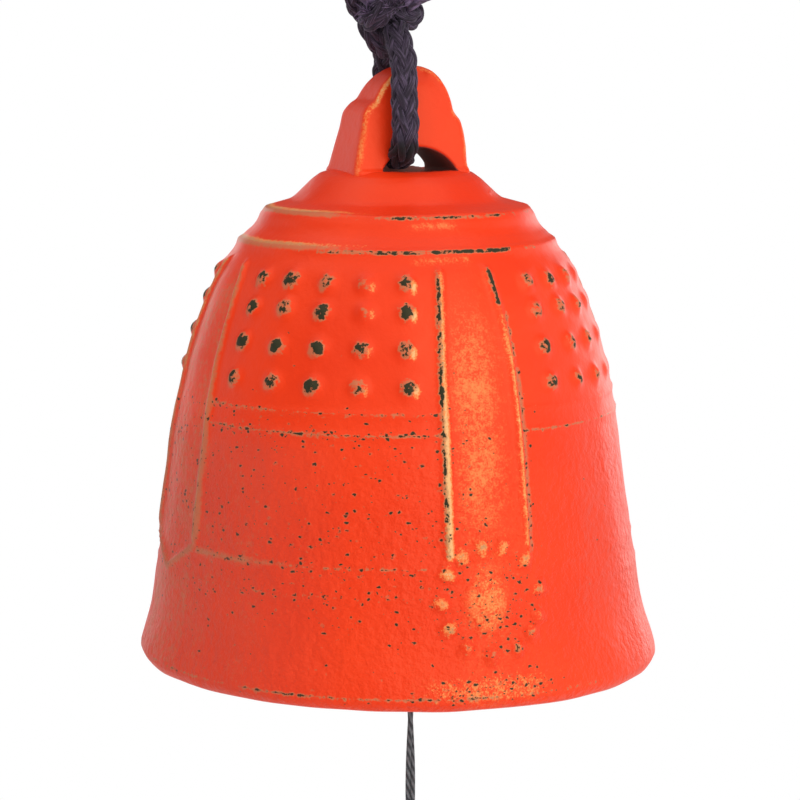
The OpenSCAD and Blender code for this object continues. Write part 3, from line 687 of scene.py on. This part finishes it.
rub = [ramp(np.hypot(boss_u, boss_v), 1.725, 0.575) * boss_rub[pick] * on_bosses,
       ridge(rib_d - 0.28, 0.5) * front_left * graph(Z, (17, 0.84), (33, 0.88), (40, 0.92), (52, 0.94)),
       ridge(rib_d - 0.78, 0.42) * front_right * graph(Z, (17, 0.5), (30, 0.5), (34, 0.72), (38, 0.70),
                                                       (46.5, 0.70), (47.5, 0)),
       ridge(rib_d, 0.45, 1.15) * front_right * ramp(Z, 47.0, 47.6),
       ridge(rib_d, 0.55) * at_side * graph(Z, (17, 0.72), (30, 0.7), (38, 0.5), (50, 0.4)),
       ridge(arch_d, 0.5, 0.55) * side_band,
       ridge(over_high + 0.25, 0.26) * high_ring * on_crown,
       ridge(over_low + 0.15, 0.27) * low_ring * on_crown,
       ridge(Z - LIP_CREST, 0.4) * lip_edge,
       ramp(petal_d, 1.2, 0.2) * 0.66]
rub += [ridge(Z - z, 0.4) * np.where(left_panel, left, right) * within
        for z, left, right in zip(PANEL_LINES, (0.60, 0.74, 0.54, 0.50), (0.50, 0.74, 0.3, 0.3))]
rub = np.maximum.reduce(rub) * past_lip

# where the paint is only thin, so that tan undercoat shows
at_left = ramp(around, -22, -60) * ramp(around, -150, -130)
at_right = np.minimum(ramp(around, 40, 70), 0.4)
low_left = ramp(around, -32, -58) * ramp(around, -130, -100) * ramp(Z, 34, 30)
crescent = np.hypot((boss_u + 0.5) / 0.9, (boss_v + 0.3) / 1.1)
thin = [np.maximum(ridge(over_low - 0.25, 0.55), ridge(over_high + 0.05, 0.34)) * on_crown
        * np.maximum(at_left, at_right),
        ridge(rib_d, rib_wide + 0.1, 1.15) * at_side * graph(Z, (17, 1), (36, 0.8), (46, 0.7), (52, 0.8)),
        ridge(arch_d, 0.6) * side_band,
        np.maximum(ridge(Z - PANEL_LINES[2], 0.6, 0.8), ridge(Z - PANEL_LINES[0], 0.6, 0.5)) * within
        * at_left,
        # partly tan undercoat, partly painted shade that darkens the low left side
        low_left * 0.34,
        0.5 * side_band * (around < 0) * ramp(rib_d, 0, -1) * (Z < 51),
        ridge(rib_d - 0.75, 0.55, 0.8) * front_right * (Z < 40),
        ramp(crescent, 1.4, 0.4) * 0.9 * (panel == 3) * (column < 1) * on_bosses]
thin = np.maximum.reduce(thin) * outside

# dark specks
at_lip = ramp(np.abs(around + 2), 19, 9) * ramp(Z, 5.2, 3.0) * ramp(Z, 0.6, 1.8) * past_lip
specks = graph(Z, (0, 0.3), (3, 0.3), (8, 0.4), (13, 0.9), (17, 0.9), (20, 0.8), (31, 0.9), (34, 0.8),
               (36, 0.25), (52, 0.08), (63, 0.06))
specks *= graph(around, (-120, 0.8), (-80, 1.0), (-45, 1.0), (-5, 0.9), (5, 0.3), (60, 0.2))
specks = [specks, ramp(heart_d, 7.6, 6.1) * 1.5, at_lip * 2.4,
          ridge(rib_d - 0.85, 0.45, 2.6) * front_right * (Z < 40)]
specks += [ridge(Z - z, 0.55, high) * within * (np.abs(around + 45) < 45)
           for z, high in zip(PANEL_LINES, (1.6, 2.6, 1.5, 1.2))]
specks = np.maximum.reduce(specks)

# gold bloom on the bands, the lotus heart, the lip and the shoulder; in the bands' middles and below the
# rings near the front it is painted highlight as well, where the key lamp's highlight falls
in_band = ramp(rib_d, 0, -1.4) * np.where(side_band, 0.3, graph(off_band, (-8, 0.6), (-4, 1.0), (1, 1.0),
                                                                (5, 0.5), (8, 0.2)))
heart_gold = np.hypot((u_band + 0.8) / 2.9, (Z - LOTUS_Z) / 4.6) + side_band * 9
gold = [in_band * graph(Z, (16, 0.3), (20, 0.6), (27, 0.95), (42, 0.95), (48, 0.35), (52, 0.1)),
        ridge(rib_d, 0.9, 0.5) * rib_end * ~side_band,
        ramp(heart_gold, 1.25, 0.65) * 0.9,
        at_lip * 0.55,
        np.maximum(ridge(over_high + 1.1, 0.5, 0.9), ridge(over_low + 1.0, 0.5, 0.9)) * on_crown
        * ramp(np.abs(around + 6), 12, 8)]
gold = np.maximum.reduce(gold) * past_lip

# pale crests: pale wear on rib crests and petal tops, with painted highlight where crests, boss sides and
# ledge rims face the lamps
# glint: painted highlight on the right side of the bosses in the right columns of the panel left of the
# front band
glint = np.hypot((boss_u - 0.95) / 0.5, (boss_v + 0.45) / 0.9)
pale = [ridge(rib_d + 0.05, 0.46) * front_left * graph(Z, (17, 1.15), (32, 1.1), (38, 0.8), (44, 0.7),
                                                       (52, 0.5)),
        ridge(rib_d + 0.05, 0.32, 0.60) * front_right * graph(Z, (17, 0.6), (20, 1), (44, 1), (47, 0.4)),
        ramp(petal_d, 1.3, 0.3) * PETAL_WEAR[petal] * 0.72,
        ramp(heart_gold, 1.1, 0.4) * 0.36,
        at_lip * 0.36,
        ramp(glint, 1.3, 0.3) * (panel == 3) * (column > 0) * np.where(column == 2, 0.95, 0.48) * on_bosses,
        ridge(rib_d + 0.15, 0.3, 0.55) * at_side * (around < 0),
        np.maximum(ridge(over_high - 0.25, 0.22, 0.7), ridge(over_low - 0.55, 0.28, 0.7)) * on_crown
        * at_left]
pale = np.maximum.reduce(pale) * past_lip

# the slot's floor painted dark as its shade, and a little painted shade low on the left side
floor_reach = np.where(north < 0, 5.0, 8.5)
slot_floor_shade = ramp(from_axis - floor_reach, 0, -0.5) * ramp(from_slot, 5.3, 4.9) * outside * (Z > BELL_H - 3)
dull = np.maximum(slot_floor_shade, low_left * past_lip * 0.19)


def painted_look():
    """Orange-red paint with a fine peel. Where it is rubbed off, black iron shows through a soft tan
    edge, in ragged flecks. Dark specks, gold bloom that is partly painted highlight, pale wear with
    painted highlights, and painted shade lie where the fields of the same names say."""
    here = place()
    rub, specks, gold, dull, thin, pale = [
        Link.node("ShaderNodeAttribute", {"attribute_name": key}, out=2)
        for key in ("rub", "specks", "gold", "dull", "thin", "pale")]
    ragged = noise(here, 1300, 3, 0.65)
    broad = noise(here, 170, 2)
    grain = noise(here, 4000, 2, 0.6)
    worn = rub + (ragged - 0.5) * 1.5 + (broad - 0.5) * 0.7
    sparse = thin + (ragged - 0.5) * 0.8 + (grain - 0.5) * 0.3 + (broad - 0.5) * 0.5
    tan = worn.ease(0.50, 0.76).top(sparse.ease(0.35, 0.85) * 0.9)
    iron = worn.ease(0.80, 0.86)
    shaken = Link.node("ShaderNodeVectorMath", {"operation": "MULTIPLY_ADD"}, i2=here,
                       i1=(0.0006, 0.0006, 0.0005),
                       i0=Link(noise(here, 2200, 2).socket.node.outputs["Color"]))
    shaken = Link.node("ShaderNodeMapping", Vector=shaken, Scale=(1.0, 1.0, 1.45))
    dots, rims = 0, 0
    for scale, share, radius in ((1050.0, 0.28, 0.29), (2100.0, 0.18, 0.27)):
        cells = Link.node("ShaderNodeTexVoronoi", Vector=shaken, Scale=scale)
        chance = Link.node("ShaderNodeSeparateColor", Color=Link(cells.socket.node.outputs["Color"]))
        size = (specks * share - chance).ease(0.0, 0.08) * radius
        dots = (size - cells).ease(0.0, 0.07).top(dots)
        rims = (size * 1.5 - cells).ease(0.0, 0.12).top(rims)
    bloom = grain * 0.5 + ragged * 0.5 + gold * 0.16 + (noise(here, 230, 2) - 0.5) * 0.3
    paint = mixed(noise(here, 60, 2).ease(0.3, 0.7), (0.80, 0.030, 0.0035), (0.86, 0.039, 0.005))
    # gold bloom, partly painted highlight
    paint = mixed(bloom.ease(0.52, 0.80) * gold * 0.75, paint, (0.90, 0.26, 0.07))
    # painted highlight and pale wear: crests are tinted orange, and cream where strongest
    crest_highlight = pale + (ragged - 0.5) * 0.6 + (grain - 0.5) * 0.9
    paint = mixed(crest_highlight.ease(0.25, 0.55) * 0.8, paint, (0.90, 0.27, 0.07))
    paint = mixed(crest_highlight.ease(0.55, 0.85) * 0.85, paint, (0.82, 0.47, 0.20))
    colour = mixed(tan.top(rims * 0.45) * 0.68, paint, (0.44, 0.20, 0.09))
    colour = mixed(iron.top(dots), colour, (0.010, 0.021, 0.011))
    # painted shade: a dark dull red on the slot's floor and inside, and faintly low at the left
    colour = mixed(dull, colour, (0.30, 0.10, 0.085))
    low = (0 - Link.node("ShaderNodeSeparateXYZ", out=2, i0=here)).ease(0.078, 0.100)
    peel = noise(here, 1000, 3, 0.6) * 0.7 + noise(here, 350, 2) * 0.5
    bump = Link.node("ShaderNodeBump", Strength=0.9, Distance=0.0004,
                     Height=peel * (low * 1.1 + 0.25) - iron.top(dots) * 0.2)
    return {"Base Color": colour, "Roughness": 0.40 + iron * 0.2 + dull * 0.3, "Normal": bump,
            "Specular IOR Level": 0.5, "Specular Tint": (1.0, 0.62, 0.36, 1.0)}


painted_iron = finish_of("painted_iron", painted_look)
shell = grid_mesh("bell_shell", [shell_grid], painted_iron, caps=False,
                  fields={"rub": rub, "specks": specks, "gold": gold, "dull": dull, "thin": thin,
                          "pale": pale})
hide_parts("bell_casting")
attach(shell, "bell")

# Painted iron bell: lug
# The lug is part of the casting: a domed block with a ledge at each side, pierced by an
# arched slot for the cord. Its edges are soft. The slot's inside is painted dark as painted shade,
# and the front-left edge carries a painted highlight.
LUG_H, LUG_HALF_T, LUG_ROUND, LUG_FOOT = 13.25, 5.25, 0.95, 2.0
LUG_STATIONS = 150
FRONT_LINE = [(8.0, -0.8), (7.95, 0), (7.85, 0.5), (7.8, 1.1), (7.8, 3), (7.55, 5), (7.2, 6.3),
              (6.55, 7.05), (6.25, 7.6), (6.05, 8.85), (5.65, 10.15), (4.9, 11.5), (4.0, 12.5),
              (2.9, 13.05), (1.4, 13.25), (0, 13.05), (-0.9, 12.65), (-2.0, 11.95), (-3.0, 11.0),
              (-3.7, 10.0), (-4.15, 9.15), (-4.35, 8.85), (-5.0, 8.5), (-5.5, 8.0), (-6.05, 7.25),
              (-6.2, 6.5), (-6.4, 5.3), (-6.85, 3.6), (-7.2, 2.2), (-7.55, 0.8), (-7.75, 0),
              (-8.1, -0.8)]
FACE_SHARES = [(1.1, 0), (1.02, 0.03), (1, 0.08), (0.829, 0.56), (0.7, 0.8), (0.629, 0.9),
               (0.52, 0.965), (0.36, 1)]


def lug_surface():
    """The lug as a bent bar over the slot. Stations go from foot to foot, each with an inner point on
    the slot's arch and an outer point on the outline. Its section there is a rounded rectangle, as
    thick as the face's outline is at that height. Returns points, and from 0 to 1 how far each is in
    the slot and how near to an outer edge."""
    arch = (SLOT_HALF ** 2 + SLOT_H ** 2) / (2 * SLOT_H)
    hub = np.array([SLOT_X, SLOT_H - arch])
    _, outline = eased_line(FRONT_LINE, spread=5.0, reach=30)
    # each station lies on a ray from eye, a point inside the slot
    eye = np.array([0.6, 0.4])
    turn_out = np.unwrap(np.arctan2(outline[:, 1] - eye[1], outline[:, 0] - eye[0]))
    order = np.argsort(turn_out)
    turn = np.radians(np.linspace(-4, 184, LUG_STATIONS))
    far = np.column_stack([np.interp(turn, turn_out[order], outline[order, k]) for k in range(2)])
    ray = np.column_stack([np.cos(turn), np.sin(turn)])
    b = ray @ (eye - hub)
    reach = -b + np.sqrt(b ** 2 - np.sum((eye - hub) ** 2) + arch ** 2)
    near = eye + ray * reach[:, None]
    drop = np.linspace(LUG_FOOT, LUG_FOOT / 8, 6)[:, None]
    near = np.vstack([near[:1] - (0, 1) * drop, near, near[-1:] - (0, 1) * drop[::-1]])
    far = np.vstack([far[:1] - (0, 1) * drop, far, far[-1:] - (0, 1) * drop[::-1]])
    # the rounded rectangle: X, Y is its corner's centre and C, S the arm from there to the point.
    # Seven points turn each corner, and ten more run along each side
    corner = np.radians(np.concatenate([q + np.linspace(0, 90, 7) for q in (0, 90, 180, 270)]))
    corner_x = np.repeat([1.0, -1, -1, 1], 7)
    corner_y = np.repeat([1.0, 1, -1, -1], 7)
    turned = np.arange(28) + np.repeat([0, 10, 20, 30], 7)
    X, Y, C, S = [np.interp(np.arange(68), np.append(turned, 68), np.append(v, v[0]))
                  for v in (corner_x, corner_y, np.cos(corner), np.sin(corner))]
    length = np.linalg.norm(far - near, axis=1)
    middle = (far + near) / 2
    along = (far - near) / length[:, None]
    height = middle[:, 1:2] + along[:, 1:2] * length[:, None] / 2 * X
    face = np.array(FACE_SHARES) * (LUG_HALF_T, LUG_H)
    thick = np.interp(height, face[:, 1], face[:, 0])
    round_r = np.minimum(LUG_ROUND, 0.42 * length)[:, None] * np.where(X < 0, 0.45, 1.0)
    a = (length[:, None] / 2 - round_r) * X + round_r * C
    y = (thick - round_r) * Y + round_r * S
    x = middle[:, :1] + along[:, :1] * a
    z = middle[:, 1:2] + along[:, 1:2] * a
    inside = np.broadcast_to(ramp(C, -0.6, -0.9) * (X < 0), x.shape)
    edge = np.broadcast_to(np.abs(C * S) * 2 * (X > 0), x.shape)
    return np.stack([x, -y, z + CROWN_Z], axis=-1), inside, edge


lug_grid, lug_inside, lug_edge = lug_surface()
lug_x, lug_y, lug_z = np.moveaxis(lug_grid, -1, 0)
lug_front = ramp(lug_edge, 0.35, 1) * (lug_y < 0)
lug_high = np.maximum(ramp(lug_z, CROWN_Z + 5, CROWN_Z + 9), 0.34)
# painted shade inside the slot, and a painted highlight along the upper front-left edge
lug = grid_mesh("bell_lug", [lug_grid], painted_iron,
                fields={"rub": np.clip(lug_edge, 0, 1) * 0.3, "specks": np.full(lug_x.shape, 0.1),
                        "gold": lug_edge, "dull": lug_inside * (lug_z < CROWN_Z + 4.5),
                        "thin": np.zeros(lug_x.shape),
                        "pale": lug_front * lug_high * np.where(lug_x < 0, 0.66, 0.1)})
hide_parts("bell_casting")
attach(lug, "bell")

# Staple, clapper disc and strip
# A staple of iron wire is pressed into the crown from inside. The clapper is a bare
# iron disc on the string. The strip is thick plain paper with a punched hole.


def bare_look():
    """Dark bare iron with a dull skin."""
    mottle = noise(place(), 260, 3, 0.6)
    base = mixed(mottle.ease(0.3, 0.7), (0.045, 0.042, 0.040), (0.095, 0.088, 0.082))
    bump = Link.node("ShaderNodeBump", Strength=0.4, Distance=0.00015, Height=noise(place(), 1500, 3, 0.6))
    return {"Base Color": base, "Metallic": 0.7, "Roughness": 0.5 + (mottle - 0.5) * 0.2, "Normal": bump}


def wire_look():
    """Drawn iron wire, dulled."""
    fine = noise(place(), 900, 3, 0.6)
    base = mixed(fine.ease(0.3, 0.7), (0.16, 0.155, 0.15), (0.26, 0.25, 0.24))
    return {"Base Color": base, "Metallic": 0.9, "Roughness": 0.38 + (fine - 0.5) * 0.2}


def paper_look():
    """Thick handmade paper: long pale fibres in an off-white sheet."""
    here = place()
    pulp = noise(here, 500, 4, 0.6, stretch=(1.0, 1.0, 0.35))
    strands = noise(here, 700, 2, 0.5, stretch=(0.25, 1.0, 1.6))
    base = mixed(pulp.ease(0.3, 0.7), (0.80, 0.76, 0.66), (0.88, 0.85, 0.77))
    base = mixed(strands.ease(0.66, 0.74) * 0.5, base, (0.70, 0.64, 0.52))
    bump = Link.node("ShaderNodeBump", Strength=0.35, Distance=0.0001, Height=pulp)
    return {"Base Color": base, "Roughness": 0.85, "Normal": bump, "Specular IOR Level": 0.25}


for node, name, build in (("clapper_disc", "bare_iron", bare_look), ("eye_staple", "iron_wire", wire_look),
                          ("paper_strip", "strip_paper", paper_look)):
    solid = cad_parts[node]
    made = finish_of(name, build)
    for spot in solid.material_slots:
        spot.material = made

# Floor, light and backdrop
# A plain white studio, in metres: a broad lamp in front at the right and one overhead, weaker ones
# at the sides and behind, and a white floor below the strip that takes a soft shadow.
FLOOR_Z, FLOOR_HALF = -0.27, 6
BELL_MIDDLE = Vector((0, 0, -0.09))
LAMPS = [("lamp_key", 36, 18, 0.9, 1.0, 5.2), ("lamp_left", -100, 8, 0.8, 0.8, 0.8),
         ("lamp_fill", -22, 20, 0.9, 0.7, 0.75), ("lamp_right", 100, 8, 0.8, 0.8, 1.3),
         ("lamp_top", -20, 78, 0.8, 1.5, 5.5), ("lamp_back_left", -156, 4, 0.9, 0.45, 0.75),
         ("lamp_back_right", 148, 4, 0.9, 0.45, 1.2)]
SKY_LIGHT, SKY_MIRRORED, SKY_SEEN = 0.26, 0.15, 1.0


def floor_look():
    """White near the bell, where the shadow falls, and even white farther out."""
    made = bpy.data.materials.new("studio_floor")
    made.use_nodes = True
    tree = Link.tree = made.node_tree
    tree.nodes.clear()
    far = Link.node("ShaderNodeVectorMath", {"operation": "LENGTH"}, out=1, i0=place())
    camera_ray = Link.node("ShaderNodeLightPath", out=0)
    plain = Link.node("ShaderNodeBsdfDiffuse", Color=(0.92, 0.92, 0.92, 1))
    glow = Link.node("ShaderNodeEmission", Color=(1, 1, 1, 1), Strength=1.0)
    both = Link.node("ShaderNodeMixShader", i0=far.ease(0.12, 0.38) * camera_ray, i1=plain, i2=glow)
    out = tree.nodes.new("ShaderNodeOutputMaterial")
    tree.links.new(both.socket, out.inputs[0])
    return made


floor_mesh = bpy.data.meshes.new("studio_floor")
floor_mesh.from_pydata([(x * FLOOR_HALF, y * FLOOR_HALF, FLOOR_Z)
                        for x, y in ((-1, -1), (1, -1), (1, 1), (-1, 1))], [], [(0, 1, 2, 3)])
floor_mesh.materials.append(floor_look())
floor_sheet = bpy.data.objects.new("studio_floor", floor_mesh)
scene.collection.objects.link(floor_sheet)


def soft_lamp(name, azimuth, height, away, size, power):
    """A round white lamp that faces the bell. Its azimuth is from the camera's own, to the right."""
    data = bpy.data.lights.new(name, "AREA")
    data.shape, data.size, data.energy = "DISK", size, power
    lamp = bpy.data.objects.new(name, data)
    a, h = math.radians(VIEW_TURN + azimuth), math.radians(height)
    spot = Vector((math.sin(a) * math.cos(h), -math.cos(a) * math.cos(h), math.sin(h)))
    lamp.location = BELL_MIDDLE + spot * away
    lamp.rotation_mode = "QUATERNION"
    lamp.rotation_quaternion = spot.to_track_quat("Z", "Y")
    scene.collection.objects.link(lamp)
    return lamp


for lamp in LAMPS:
    soft_lamp(*lamp)

world = bpy.data.worlds.new("studio")
scene.world = world
world.use_nodes = True
tree = Link.tree = world.node_tree
tree.nodes.clear()
rays = tree.nodes.new("ShaderNodeLightPath").outputs
soft_sky, dim_sky, white_sky = [Link.node("ShaderNodeBackground", Color=(1, 1, 1, 1), Strength=strength)
                                for strength in (SKY_LIGHT, SKY_MIRRORED, SKY_SEEN)]
sky = Link.node("ShaderNodeMixShader", i0=Link(rays["Is Glossy Ray"]), i1=soft_sky, i2=dim_sky)
sky = Link.node("ShaderNodeMixShader", i0=Link(rays["Is Camera Ray"]), i1=sky, i2=white_sky)
sky_out = tree.nodes.new("ShaderNodeOutputWorld")
tree.links.new(sky.socket, sky_out.inputs[0])

scene.view_settings.view_transform = "Standard"
